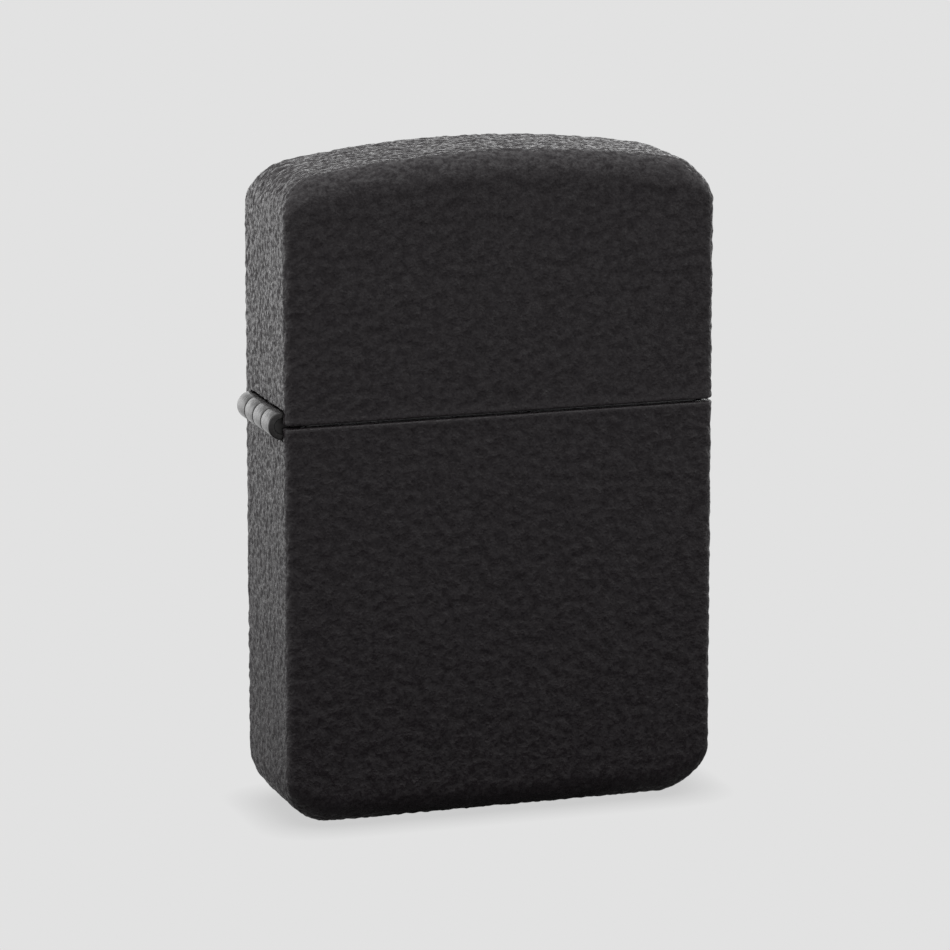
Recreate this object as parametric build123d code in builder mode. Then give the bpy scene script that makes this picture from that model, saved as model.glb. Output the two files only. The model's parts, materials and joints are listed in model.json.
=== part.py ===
from build123d import *

import math
import os

# Flip-top windproof petrol lighter, closed. Millimetres, +Z up, width along X with the hinge
# at -X, depth along Y with the front at -Y, origin at the centre of the case's flat bottom.

# Outer case
case_width = 38.1
case_depth = 12.7
case_height = 57.15
seam_share = 0.61067
seam_gap = 0.2
wall = 0.7
bottom_corner = 4.4
crown_corner = 4.1
crown_sag = 2.0
edge_round = 1.0
crown_roll = 2.4
bottom_roll = 2.8
cavity_round = 1.2

# Hinge
hinge_offset_y = -0.5
hinge_share = 0.7559
knuckle_count = 4
knuckle_gap = 0.1
knuckle_radius = 1.2
leaf_thickness = 0.5
pin_radius = 0.65
running_clearance = 0.05
notch_gap = 0.25
notch_side_gap = 0.15
lid_leaf_height = 8.0
case_leaf_height = 9.0
leaf_start_gap = 0.15
pocket_gap = 0.05
curl_slit = 0.2
curl_slit_angle = 50.0
pin_inset = 0.05

# Lip on the lid's leaf that the cam bears on
lip_thickness = 0.4
lip_width = 3.0
lip_drop = 0.89
lip_top = 6.0
lip_knuckle_gap = 0.1

# Insert
insert_side_gap = 0.25
insert_hinge_gap = 0.15
insert_depth_gap = 0.175
insert_wall = 0.45
deck_rise = 3.1
insert_bottom_corner = 4.0
insert_top_corner = 1.5
insert_edge_round = 1.2
insert_rim = 1.4
insert_rim_cut = 0.9
insert_rim_end = 4.9
cam_slot_width = 4.6
cam_slot_drop = 1.9
cam_slot_reach = 3.4

# Chimney
chimney_ledge = 1.275
chimney_share = 0.813
chimney_cam_gap = 3.42
chimney_wheel_gap = 0.5
chimney_wall = 0.45
chimney_round = 1.2
chimney_hole_radius = 1.15
chimney_pitch_share = 0.2625
chimney_rows = ((0.28, 3), (0.533, 2), (0.787, 3))
cam_ear_radius = 1.7

# Cam
cam_pivot_reach = 3.73
cam_pivot_rise = 6.0
cam_nose_gap = 0.07
cam_nose_rise = 1.11
cam_arm_radius = 0.8
cam_nose_radius = 0.45
cam_width = 2.2
cam_sleeve_radius = 1.1
cam_rivet_radius = 0.6
rivet_head_radius = 1.05
rivet_head_height = 0.3
side_play = 0.1

# Cam spring
cam_spring_thickness = 0.3
cam_spring_width = 2.6
cam_spring_foot = 7.62
cam_spring_bend = 4.42
cam_spring_tip = 0.72
cam_spring_gap = 0.1
spring_rivet_reach = 6.22
spring_rivet_radius = 0.5
spring_rivet_head = 1.0
spring_rivet_height = 0.45
slot_margin = 0.3

# Striker wheel
wheel_inset = 7.9
wheel_rise = 8.6
wheel_radius = 3.9
wheel_width = 5.2
wheel_tooth_depth = 0.35
wheel_teeth = 40
wheel_hub_radius = 2.2
axle_radius = 0.8
wheel_ear_radius = 2.4
wheel_ear_share = 0.867

# Flint train
flint_radius = 1.3
flint_length = 5.0
flint_gap = 0.06
flint_clearance = 0.07
flint_tube_wall = 0.55
flint_tube_drop = 1.1
plunger_stem_radius = 0.55
plunger_head_length = 1.6
plunger_stem_length = 2.6
spring_radius = 0.95
spring_wire = 0.16
spring_turns = 12
screw_head_radius = 2.8
screw_head_height = 0.9
screw_floor_gap = 0.15
screw_shank_length = 5.0
screw_slot = 0.6
screw_slot_depth = 0.45

# Wick, packing and felt
wick_radius = 1.6
wick_bottom = 6.0
wick_share = 0.693
wire_count = 3
wire_radius = 0.14
wire_circle = 1.1
wire_rise = 0.5
felt_thickness = 3.0
packing_count = 5
packing_clearance = 0.03
packing_top_gap = 0.5
felt_hole_gap = 0.1

# Values that follow from the ones above
half_width = case_width / 2
half_depth = case_depth / 2
crown_radius = (half_width**2 + crown_sag**2) / (2 * crown_sag)
seam_height = case_height * seam_share
cavity_x = half_width - wall

hinge_x = -half_width
hinge_length = case_depth * hinge_share
knuckle_length = hinge_length / knuckle_count
hinge_front = hinge_offset_y - hinge_length / 2
notch_reach = knuckle_radius + notch_gap
leaf_start = knuckle_radius + leaf_start_gap
leaf_outer = wall
leaf_inner = wall + leaf_thickness
lip_inner = knuckle_radius + lip_knuckle_gap
lip_outer = lip_inner + lip_thickness

insert_left = hinge_x + max(leaf_inner, knuckle_radius) + insert_hinge_gap
insert_right = cavity_x - insert_side_gap
insert_width = insert_right - insert_left
insert_centre_x = (insert_left + insert_right) / 2
insert_depth = case_depth - 2 * wall - 2 * insert_depth_gap
insert_bottom = wall
insert_roll = bottom_roll - wall
insert_top = seam_height + deck_rise
insert_window_width = insert_width - 2 * insert_rim_end
insert_window_depth = insert_depth - 2 * insert_rim
cam_slot_bottom = seam_height - cam_slot_drop

cam_pivot_x = hinge_x + lip_outer + cam_pivot_reach
cam_pivot_z = seam_height + cam_pivot_rise
cam_nose_x = hinge_x + lip_outer + cam_nose_gap + cam_nose_radius
cam_nose_z = seam_height + cam_nose_rise
cam_spring_foot_x = cam_pivot_x + cam_spring_foot
cam_spring_bend_x = cam_pivot_x + cam_spring_bend
cam_spring_tip_x = cam_pivot_x + cam_spring_tip
spring_rivet_x = cam_pivot_x + spring_rivet_reach

wheel_x = insert_right - wheel_inset
wheel_z = insert_top + wheel_rise
flint_tube_top = wheel_z - wheel_radius - flint_tube_drop

chimney_left = cam_pivot_x + chimney_cam_gap
chimney_right = wheel_x - wheel_radius - chimney_wheel_gap
chimney_width = chimney_right - chimney_left
chimney_centre_x = (chimney_left + chimney_right) / 2
chimney_depth = insert_depth - 2 * chimney_ledge
chimney_inner_depth = chimney_depth - 2 * chimney_wall
chimney_height = (case_height - wall - insert_top) * chimney_share
chimney_hole_pitch = chimney_width * chimney_pitch_share
wheel_ear_top = chimney_height * wheel_ear_share
wick_top = insert_top + chimney_height * wick_share

tube_bore = flint_radius + flint_clearance
tube_radius = tube_bore + flint_tube_wall
screw_head_bottom = wall + screw_floor_gap
screw_head_top = screw_head_bottom + screw_head_height
shank_top = screw_head_top + screw_shank_length
flint_top = wheel_z - wheel_radius - flint_gap
flint_bottom = flint_top - flint_length
plunger_bottom = flint_bottom - plunger_head_length
big = 3 * case_height

os.makedirs("parts", exist_ok=True)


def save(piece, node):
    piece.label = node
    export_step(piece, "parts/" + node + ".step")


# Bar rounded along its bottom edges: it rolls a form's bottom into its front and back.
def bottom_bar(depth, bottom, roll):
    with BuildPart() as bar:
        with Locations((0, 0, bottom)):
            Box(big, depth, big, align=(Align.CENTER, Align.CENTER, Align.MIN))
        fillet(bar.edges().filter_by(Axis.X).group_by(Axis.Z)[0], radius=roll)
    return bar.part


# Case form: the front outline, domed at the top, taken through the depth, its rim edges rounded.
def case_form(inset, rim_round):
    reach = half_width - inset
    dome = crown_radius - inset
    dome_centre = case_height - crown_radius
    corner = crown_corner - inset
    corner_x = reach - corner
    corner_z = dome_centre + math.sqrt((dome - corner) ** 2 - corner_x**2)
    lean = math.atan2(corner_x, corner_z - dome_centre)
    meet = (dome * math.sin(lean), dome_centre + dome * math.cos(lean))
    half_turn = (math.pi / 2 + lean) / 2
    middle = (corner_x + corner * math.sin(half_turn), corner_z + corner * math.cos(half_turn))
    with BuildPart() as form:
        with BuildSketch(Plane.XZ) as outline:
            with BuildLine():
                ThreePointArc((-meet[0], meet[1]), (0, dome_centre + dome), meet)
                ThreePointArc(meet, middle, (reach, corner_z))
                Polyline((reach, corner_z), (reach, inset), (-reach, inset), (-reach, corner_z))
                ThreePointArc((-reach, corner_z), (-middle[0], middle[1]), (-meet[0], meet[1]))
            make_face()
            fillet(outline.vertices().sort_by(Axis.Y)[:2], radius=bottom_corner - inset)
        extrude(amount=half_depth - inset, both=True)
        fillet(form.faces().filter_by(Axis.Y).edges(), radius=rim_round)
        add(bottom_bar(case_depth - 2 * inset, inset, bottom_roll - inset), mode=Mode.INTERSECT)
    return form.part


# Coin whose rim is the dome of the crown: it rolls the crown into the front and the back.
def crown_coin():
    with BuildPart() as coin:
        with BuildSketch(Plane.XZ.offset(half_depth)):
            with Locations((0, case_height - crown_radius)):
                Circle(crown_radius)
        extrude(amount=-case_depth)
        fillet(coin.edges().filter_by(GeomType.CIRCLE), radius=crown_roll)
    return coin.part


# Hinge pocket: the leaf's recess in the wall and the notch the knuckles turn in.
def hinge_pocket(bottom, top):
    with BuildPart() as pocket:
        with Locations((hinge_x + leaf_outer, hinge_offset_y, bottom)):
            Box(
                leaf_thickness + pocket_gap,
                hinge_length + 2 * pocket_gap,
                top - bottom,
                align=(Align.MIN, Align.CENTER, Align.MIN),
            )
        with Locations((hinge_x, hinge_offset_y, seam_height)):
            Box(2 * wall + pocket_gap, hinge_length + 2 * notch_side_gap, 2 * notch_reach)
    return pocket.part


outer_form = case_form(0, edge_round)
cavity_form = case_form(wall, cavity_round)

with BuildPart() as case_body:
    add(outer_form)
    add(cavity_form, mode=Mode.SUBTRACT)
    with Locations((0, 0, seam_height - seam_gap / 2)):
        Box(big, big, big, align=(Align.CENTER, Align.CENTER, Align.MIN), mode=Mode.SUBTRACT)
    add(
        hinge_pocket(seam_height - case_leaf_height - pocket_gap, seam_height),
        mode=Mode.SUBTRACT,
    )
save(case_body.part, "case_body")

with BuildPart() as lid_shell:
    add(outer_form)
    add(crown_coin(), mode=Mode.INTERSECT)
    add(cavity_form, mode=Mode.SUBTRACT)
    with Locations((0, 0, seam_height + seam_gap / 2)):
        Box(big, big, big, align=(Align.CENTER, Align.CENTER, Align.MAX), mode=Mode.SUBTRACT)
    add(
        hinge_pocket(seam_height, seam_height + lid_leaf_height + pocket_gap),
        mode=Mode.SUBTRACT,
    )
save(lid_shell.part, "lid_shell")


# One hinge half: a leaf against the inside of the wall, its knuckles curled round the pin.
def hinge_half(first, direction, leaf_height, bore):
    with BuildPart() as half:
        for index in range(first, knuckle_count, 2):
            start = hinge_front + index * knuckle_length + knuckle_gap / 2
            with BuildSketch(Plane.XZ.offset(-start)):
                with Locations((hinge_x, seam_height)):
                    Circle(knuckle_radius)
                with Locations((hinge_x + leaf_outer, seam_height)):
                    align_z = Align.MIN if direction > 0 else Align.MAX
                    Rectangle(leaf_thickness, leaf_start, align=(Align.MIN, align_z))
                with Locations((hinge_x, seam_height)):
                    Circle(bore, mode=Mode.SUBTRACT)
                angle = math.radians(direction * curl_slit_angle)
                middle = (bore + knuckle_radius) / 2
                slit_x = hinge_x + middle * math.cos(angle)
                slit_z = seam_height + middle * math.sin(angle)
                with Locations(Location((slit_x, slit_z), direction * curl_slit_angle)):
                    Rectangle(knuckle_radius - bore + curl_slit, curl_slit, mode=Mode.SUBTRACT)
            extrude(amount=-(knuckle_length - knuckle_gap))
        plate_height = leaf_height - leaf_start
        plate_z = seam_height + direction * (leaf_start + plate_height / 2)
        with Locations((hinge_x + leaf_outer + leaf_thickness / 2, hinge_offset_y, plate_z)):
            Box(leaf_thickness, hinge_length, plate_height)
    return half.part


lid_half = hinge_half(0, 1, lid_leaf_height, pin_radius + running_clearance)
with BuildPart() as lid_hinge_leaf:
    add(lid_half)
    # The lip is a strip doubled over the leaf that hangs past the knuckles towards the cam.
    with Locations((hinge_x + leaf_inner, 0, seam_height + leaf_start)):
        Box(
            lip_inner + lip_thickness - leaf_inner,
            lip_width,
            lip_top - leaf_start,
            align=(Align.MIN, Align.CENTER, Align.MIN),
        )
    with Locations((hinge_x + lip_inner, 0, seam_height - lip_drop)):
        Box(
            lip_thickness,
            lip_width,
            lip_drop + leaf_start,
            align=(Align.MIN, Align.CENTER, Align.MIN),
        )
save(lid_hinge_leaf.part, "lid_hinge_leaf")

case_half = hinge_half(1, -1, case_leaf_height, pin_radius)
save(case_half, "case_hinge_leaf")

with BuildPart() as hinge_pin:
    with BuildSketch(Plane.XZ.offset(-(hinge_front + pin_inset))):
        with Locations((hinge_x, seam_height)):
            Circle(pin_radius)
    extrude(amount=-(hinge_length - 2 * pin_inset))
save(hinge_pin.part, "hinge_pin")


# Insert form: the insert's front outline through its depth, edges rounded.
def insert_form(inset):
    with BuildPart() as form:
        with BuildSketch(Plane.XZ) as outline:
            with Locations((insert_centre_x, (insert_bottom + insert_top) / 2)):
                Rectangle(insert_width - 2 * inset, insert_top - insert_bottom - 2 * inset)
            corners = outline.vertices().sort_by(Axis.Y)
            fillet(corners[:2], radius=insert_bottom_corner - inset)
            corners = outline.vertices().sort_by(Axis.Y)
            fillet(corners[-2:], radius=insert_top_corner - inset)
        extrude(amount=insert_depth / 2 - inset, both=True)
        fillet(form.faces().filter_by(Axis.Y).edges(), radius=insert_edge_round - inset)
        bar_depth = insert_depth - 2 * inset
        add(bottom_bar(bar_depth, insert_bottom + inset, insert_roll - inset), mode=Mode.INTERSECT)
    return form.part


with BuildPart() as insert_can:
    add(insert_form(0))
    add(insert_form(insert_wall), mode=Mode.SUBTRACT)
    # Open bottom inside a turned-in rim
    with Locations((insert_centre_x, 0, insert_bottom)):
        Box(insert_window_width, insert_window_depth, 2 * insert_rim_cut, mode=Mode.SUBTRACT)
    # Slot in the hinge side and the deck for the cam's arm and the lid's lip
    with Locations((insert_left, 0, cam_slot_bottom)):
        Box(
            2 * cam_slot_reach,
            cam_slot_width,
            insert_top,
            align=(Align.CENTER, Align.CENTER, Align.MIN),
            mode=Mode.SUBTRACT,
        )
    with Locations((chimney_centre_x, 0, insert_top)):
        Cylinder(wick_radius, 4 * insert_wall, mode=Mode.SUBTRACT)
    with Locations((wheel_x, 0, insert_top)):
        Cylinder(tube_radius, 4 * insert_wall, mode=Mode.SUBTRACT)
    with Locations((spring_rivet_x, 0, insert_top)):
        Cylinder(spring_rivet_radius, 4 * insert_wall, mode=Mode.SUBTRACT)
save(insert_can.part, "insert_can")

# Chimney: a box wall on the deck whose front and back run out into ears for wheel and cam
with BuildPart() as chimney:
    with BuildSketch(Plane.XY.offset(insert_top)) as tube:
        with Locations((chimney_centre_x, 0)):
            RectangleRounded(chimney_width, chimney_depth, chimney_round)
            RectangleRounded(
                chimney_width - 2 * chimney_wall,
                chimney_inner_depth,
                chimney_round - chimney_wall,
                mode=Mode.SUBTRACT,
            )
    extrude(amount=chimney_height)
    for side in (-1, 1):
        middle_y = side * (chimney_depth - chimney_wall) / 2
        with BuildSketch(Plane.XZ.offset(-middle_y)):
            with BuildLine():
                Polyline(
                    (chimney_right - chimney_round, insert_top),
                    (wheel_x + wheel_ear_radius, insert_top),
                    (wheel_x + wheel_ear_radius, wheel_z),
                    (wheel_x, wheel_z + wheel_ear_radius),
                    (chimney_right - chimney_round, insert_top + wheel_ear_top),
                    close=True,
                )
            make_face()
            with Locations((wheel_x, wheel_z)):
                Circle(wheel_ear_radius)
            with BuildLine():
                Polyline(
                    (chimney_left + chimney_round, insert_top),
                    (chimney_left + chimney_round, cam_pivot_z + cam_ear_radius),
                    (cam_pivot_x, cam_pivot_z + cam_ear_radius),
                    (cam_pivot_x - cam_ear_radius, cam_pivot_z),
                    (cam_pivot_x - cam_ear_radius, insert_top),
                    close=True,
                )
            make_face()
            with Locations((cam_pivot_x, cam_pivot_z)):
                Circle(cam_ear_radius)
        extrude(amount=chimney_wall / 2, both=True)
    # Air holes through both sides
    for row_share, count in chimney_rows:
        with BuildSketch(Plane.XZ):
            with Locations((chimney_centre_x, insert_top + chimney_height * row_share)):
                with GridLocations(chimney_hole_pitch, 1, count, 1):
                    Circle(chimney_hole_radius)
        extrude(amount=chimney_depth, both=True, mode=Mode.SUBTRACT)
    # Rivet and axle holes
    for pivot_x, pivot_z, radius in (
        (wheel_x, wheel_z, axle_radius),
        (cam_pivot_x, cam_pivot_z, cam_rivet_radius),
    ):
        with BuildSketch(Plane.XZ):
            with Locations((pivot_x, pivot_z)):
                Circle(radius)
        extrude(amount=chimney_depth, both=True, mode=Mode.SUBTRACT)
    # Slot in the end wall for the cam spring
    with Locations((chimney_left, 0, insert_top)):
        Box(
            4 * chimney_wall,
            cam_spring_width + 2 * slot_margin,
            cam_pivot_z - cam_sleeve_radius - insert_top,
            align=(Align.CENTER, Align.CENTER, Align.MIN),
            mode=Mode.SUBTRACT,
        )
save(chimney.part, "chimney")


# Headed pin across the chimney's ears
def cross_pin(pivot_x, pivot_z, radius):
    with BuildPart() as pin:
        with BuildSketch(Plane.XZ):
            with Locations((pivot_x, pivot_z)):
                Circle(radius)
        extrude(amount=chimney_depth / 2, both=True)
        for side in (-1, 1):
            with BuildSketch(Plane.XZ.offset(side * chimney_depth / 2)):
                with Locations((pivot_x, pivot_z)):
                    Circle(rivet_head_radius / cam_rivet_radius * radius)
            extrude(amount=side * rivet_head_height)
    return pin.part


save(cross_pin(cam_pivot_x, cam_pivot_z, cam_rivet_radius), "cam_rivet")
save(cross_pin(wheel_x, wheel_z, axle_radius), "striker_axle")

# Cam: a sleeve on the rivet with a tapering arm down to the nose
with BuildPart() as cam:
    arm_x = cam_nose_x - cam_pivot_x
    arm_z = cam_nose_z - cam_pivot_z
    arm = math.hypot(arm_x, arm_z)
    turn = math.atan2(arm_z, arm_x)
    lean = math.asin((cam_arm_radius - cam_nose_radius) / arm)
    with BuildSketch(Plane.XZ):
        with Locations((cam_pivot_x, cam_pivot_z)):
            Circle(cam_arm_radius)
        with Locations((cam_nose_x, cam_nose_z)):
            Circle(cam_nose_radius)
        flanks = []
        for side in (-1, 1):
            angle = turn + side * (math.pi / 2 - lean)
            pair = []
            for centre_x, centre_z, radius in (
                (cam_pivot_x, cam_pivot_z, cam_arm_radius),
                (cam_nose_x, cam_nose_z, cam_nose_radius),
            ):
                reach_x = radius * math.cos(angle)
                reach_z = radius * math.sin(angle)
                pair.append((centre_x + reach_x, centre_z + reach_z))
            flanks.append(pair)
        with BuildLine():
            Polyline(flanks[0][0], flanks[0][1], flanks[1][1], flanks[1][0], close=True)
        make_face()
    extrude(amount=cam_width / 2, both=True)
    with BuildSketch(Plane.XZ):
        with Locations((cam_pivot_x, cam_pivot_z)):
            Circle(cam_sleeve_radius)
    extrude(amount=chimney_inner_depth / 2 - side_play, both=True)
    with BuildSketch(Plane.XZ):
        with Locations((cam_pivot_x, cam_pivot_z)):
            Circle(cam_rivet_radius + running_clearance)
    extrude(amount=chimney_depth, both=True, mode=Mode.SUBTRACT)
save(cam.part, "cam")

# Leaf spring under the cam, riveted to the deck inside the chimney
spring_tip_top = cam_pivot_z - cam_sleeve_radius - cam_spring_gap
with BuildPart() as cam_spring:
    with BuildSketch(Plane.XZ):
        with BuildLine():
            Polyline(
                (cam_spring_foot_x, insert_top),
                (cam_spring_bend_x, insert_top),
                (cam_spring_tip_x, spring_tip_top - cam_spring_thickness),
                (cam_spring_tip_x, spring_tip_top),
                (cam_spring_bend_x, insert_top + cam_spring_thickness),
                (cam_spring_foot_x, insert_top + cam_spring_thickness),
                close=True,
            )
        make_face()
    extrude(amount=cam_spring_width / 2, both=True)
    with Locations((spring_rivet_x, 0, insert_top)):
        Cylinder(spring_rivet_radius, 4 * cam_spring_thickness, mode=Mode.SUBTRACT)
save(cam_spring.part, "cam_spring")

with BuildPart() as cam_spring_rivet:
    shank = 2 * insert_wall + cam_spring_thickness
    with Locations((spring_rivet_x, 0, insert_top + cam_spring_thickness)):
        Cylinder(spring_rivet_radius, shank, align=(Align.CENTER, Align.CENTER, Align.MAX))
        Cylinder(
            spring_rivet_head,
            spring_rivet_height,
            align=(Align.CENTER, Align.CENTER, Align.MIN),
        )
    fillet(cam_spring_rivet.edges().sort_by(Axis.Z)[-1], radius=spring_rivet_height / 2)
save(cam_spring_rivet.part, "cam_spring_rivet")

# Striker wheel: hardened wheel cut with V teeth, its hub running between the ears
with BuildPart() as striker_wheel:
    with BuildSketch(Plane.XZ):
        with Locations((wheel_x, wheel_z)):
            Circle(wheel_radius)
            with PolarLocations(wheel_radius, wheel_teeth):
                half_tooth = math.pi * wheel_radius / wheel_teeth * 0.75
                Polygon(
                    (-wheel_tooth_depth, 0),
                    (wheel_tooth_depth, -2 * half_tooth),
                    (wheel_tooth_depth, 2 * half_tooth),
                    align=None,
                    mode=Mode.SUBTRACT,
                )
    extrude(amount=wheel_width / 2, both=True)
    with BuildSketch(Plane.XZ):
        with Locations((wheel_x, wheel_z)):
            Circle(wheel_hub_radius)
    extrude(amount=chimney_inner_depth / 2 - side_play, both=True)
    with BuildSketch(Plane.XZ):
        with Locations((wheel_x, wheel_z)):
            Circle(axle_radius + running_clearance)
    extrude(amount=chimney_depth, both=True, mode=Mode.SUBTRACT)
save(striker_wheel.part, "striker_wheel")

with BuildPart() as flint_tube:
    with BuildSketch(Plane.XY.offset(screw_head_top)):
        with Locations((wheel_x, 0)):
            Circle(tube_radius)
            Circle(tube_bore, mode=Mode.SUBTRACT)
    extrude(amount=flint_tube_top - screw_head_top)
save(flint_tube.part, "flint_tube")

with BuildPart() as flint:
    with Locations((wheel_x, 0, flint_bottom)):
        Cylinder(flint_radius, flint_length, align=(Align.CENTER, Align.CENTER, Align.MIN))
save(flint.part, "flint")

with BuildPart() as flint_plunger:
    with Locations((wheel_x, 0, flint_bottom)):
        Cylinder(
            flint_radius, plunger_head_length, align=(Align.CENTER, Align.CENTER, Align.MAX)
        )
    with Locations((wheel_x, 0, plunger_bottom)):
        Cylinder(
            plunger_stem_radius,
            plunger_stem_length,
            align=(Align.CENTER, Align.CENTER, Align.MAX),
        )
save(flint_plunger.part, "flint_plunger")

with BuildPart() as flint_spring:
    coil_bottom = shank_top + spring_wire
    coil_height = plunger_bottom - spring_wire - coil_bottom
    with BuildLine() as coil:
        centre = (wheel_x, 0, coil_bottom)
        Helix(coil_height / spring_turns, coil_height, spring_radius, center=centre)
    start = coil.line @ 0
    with BuildSketch(Plane(start, z_dir=coil.line % 0)):
        Circle(spring_wire)
    sweep(path=coil.line, is_frenet=True)
save(flint_spring.part, "flint_spring")

with BuildPart() as flint_screw:
    with Locations((wheel_x, 0, screw_head_bottom)):
        Cylinder(
            screw_head_radius, screw_head_height, align=(Align.CENTER, Align.CENTER, Align.MIN)
        )
    with Locations((wheel_x, 0, screw_head_top)):
        Cylinder(
            flint_radius, screw_shank_length, align=(Align.CENTER, Align.CENTER, Align.MIN)
        )
    with Locations((wheel_x, 0, screw_head_bottom)):
        Box(
            3 * screw_head_radius,
            screw_slot,
            2 * screw_slot_depth,
            mode=Mode.SUBTRACT,
        )
save(flint_screw.part, "flint_screw")

# Wick with copper wires run through it
with BuildPart() as wick:
    with BuildSketch(Plane.XY.offset(wick_bottom)):
        with Locations((chimney_centre_x, 0)):
            Circle(wick_radius)
            with PolarLocations(wire_circle, wire_count):
                Circle(wire_radius, mode=Mode.SUBTRACT)
    extrude(amount=wick_top - wick_bottom)
save(wick.part, "wick")

for number in range(wire_count):
    angle = number * 2 * math.pi / wire_count
    with BuildPart() as wire:
        with BuildSketch(Plane.XY.offset(wick_bottom)):
            wire_x = chimney_centre_x + wire_circle * math.cos(angle)
            with Locations((wire_x, wire_circle * math.sin(angle))):
                Circle(wire_radius)
        extrude(amount=wick_top + wire_rise - wick_bottom)
    save(wire.part, "wick_wire_" + str(number + 1))

# Fuel packing: cotton pads pressed into the insert on top of the felt
inside = insert_form(insert_wall + packing_clearance)
packing_bottom = insert_bottom + insert_wall + packing_clearance + felt_thickness
packing_step = (cam_slot_bottom - packing_top_gap - packing_bottom) / packing_count
for number in range(packing_count):
    with BuildPart() as pad:
        add(inside)
        with Locations((0, 0, packing_bottom + number * packing_step)):
            Box(
                big,
                big,
                packing_step,
                align=(Align.CENTER, Align.CENTER, Align.MIN),
                mode=Mode.INTERSECT,
            )
        with Locations((wheel_x, 0, 0)):
            Cylinder(tube_radius, big, mode=Mode.SUBTRACT)
        with Locations((chimney_centre_x, 0, wick_bottom)):
            Cylinder(
                wick_radius,
                big,
                align=(Align.CENTER, Align.CENTER, Align.MIN),
                mode=Mode.SUBTRACT,
            )
    save(pad.part, "fuel_packing_" + str(number + 1))

with BuildPart() as felt_pad:
    add(insert_form(insert_wall))
    with Locations((0, 0, insert_bottom + insert_wall)):
        Box(
            big,
            big,
            felt_thickness + packing_clearance,
            align=(Align.CENTER, Align.CENTER, Align.MIN),
            mode=Mode.INTERSECT,
        )
    with Locations((wheel_x, 0, 0)):
        Cylinder(screw_head_radius + felt_hole_gap, big, mode=Mode.SUBTRACT)
save(felt_pad.part, "felt_pad")
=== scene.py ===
import json
import math
from functools import partial

import bmesh
import bpy
import numpy as np
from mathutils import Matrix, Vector


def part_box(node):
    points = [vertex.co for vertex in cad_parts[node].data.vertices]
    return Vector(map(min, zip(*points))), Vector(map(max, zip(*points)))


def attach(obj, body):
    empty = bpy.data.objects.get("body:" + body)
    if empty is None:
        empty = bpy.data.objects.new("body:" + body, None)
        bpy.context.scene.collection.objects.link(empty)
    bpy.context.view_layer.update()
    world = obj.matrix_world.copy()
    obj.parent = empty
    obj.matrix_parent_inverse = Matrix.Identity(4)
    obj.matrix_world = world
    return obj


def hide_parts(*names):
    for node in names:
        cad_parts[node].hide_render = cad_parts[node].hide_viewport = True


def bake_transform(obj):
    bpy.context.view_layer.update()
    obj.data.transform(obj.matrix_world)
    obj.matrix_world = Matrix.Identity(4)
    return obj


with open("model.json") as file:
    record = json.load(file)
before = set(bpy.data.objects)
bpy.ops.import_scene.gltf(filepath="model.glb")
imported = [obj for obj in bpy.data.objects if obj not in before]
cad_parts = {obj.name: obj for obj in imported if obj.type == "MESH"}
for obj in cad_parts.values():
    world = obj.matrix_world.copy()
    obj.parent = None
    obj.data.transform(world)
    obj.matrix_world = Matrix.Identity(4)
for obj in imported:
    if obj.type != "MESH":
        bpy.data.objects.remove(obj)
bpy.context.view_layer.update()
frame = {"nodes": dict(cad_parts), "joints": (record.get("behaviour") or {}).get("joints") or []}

scene = bpy.context.scene
nodes = frame["nodes"]
joints = {joint["name"]: joint for joint in frame["joints"]}
MM = 0.001
MATH, VECTOR, RANGE = "ShaderNodeMath", "ShaderNodeVectorMath", "ShaderNodeMapRange"
NOISE, MIX, BUMP = "ShaderNodeTexNoise", "ShaderNodeMix", "ShaderNodeBump"


# ---------------------------------------------------------------- small helpers
def box_mm(name):
    """Lowest and highest corners of a CAD node in millimetres."""
    low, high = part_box(name)
    return np.array(low) / MM, np.array(high) / MM


def colour(code):
    """Linear RGBA of an sRGB hex value."""
    parts = [int(code[at:at + 2], 16) / 255 for at in (1, 3, 5)]
    linear = [c / 12.92 if c <= 0.04045 else ((c + 0.055) / 1.055) ** 2.4 for c in parts]
    return (*linear, 1.0)


def add_node(tree, kind, feeds=(), **settings):
    """Adds one node. Settings are its own values. Feeds are its inputs' values, by name or in order, or the
    sockets or nodes that give them: a node stands for its first live output, and a list fills one socket."""
    made = tree.nodes.new(kind)
    for name, value in settings.items():
        setattr(made, name, value)
    for socket, given in feeds.items() if isinstance(feeds, dict) else enumerate(feeds):
        for value in given if isinstance(given, list) else [given]:
            if isinstance(value, bpy.types.Node):
                value = next(output for output in value.outputs if output.enabled)
            if isinstance(value, bpy.types.NodeSocket):
                tree.links.new(value, made.inputs[socket])
            else:
                made.inputs[socket].default_value = value
    return made


def new_material(name):
    """An empty node material and its tree."""
    made = bpy.data.materials.new(name)
    made.use_nodes = True
    made.node_tree.nodes.clear()
    return made, made.node_tree


def finish_material(tree, feeds):
    """Principled surface to the output."""
    surface = add_node(tree, "ShaderNodeBsdfPrincipled", feeds)
    add_node(tree, "ShaderNodeOutputMaterial", {"Surface": surface})


def millimetres(tree, stretch=(1, 1, 1)):
    """Object coordinates in millimetres, each axis divided by its stretch."""
    place = add_node(tree, "ShaderNodeTexCoord")
    scale = tuple(1 / (MM * along) for along in stretch)
    return add_node(tree, "ShaderNodeMapping", {"Vector": place.outputs["Object"], "Scale": scale})


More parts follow.
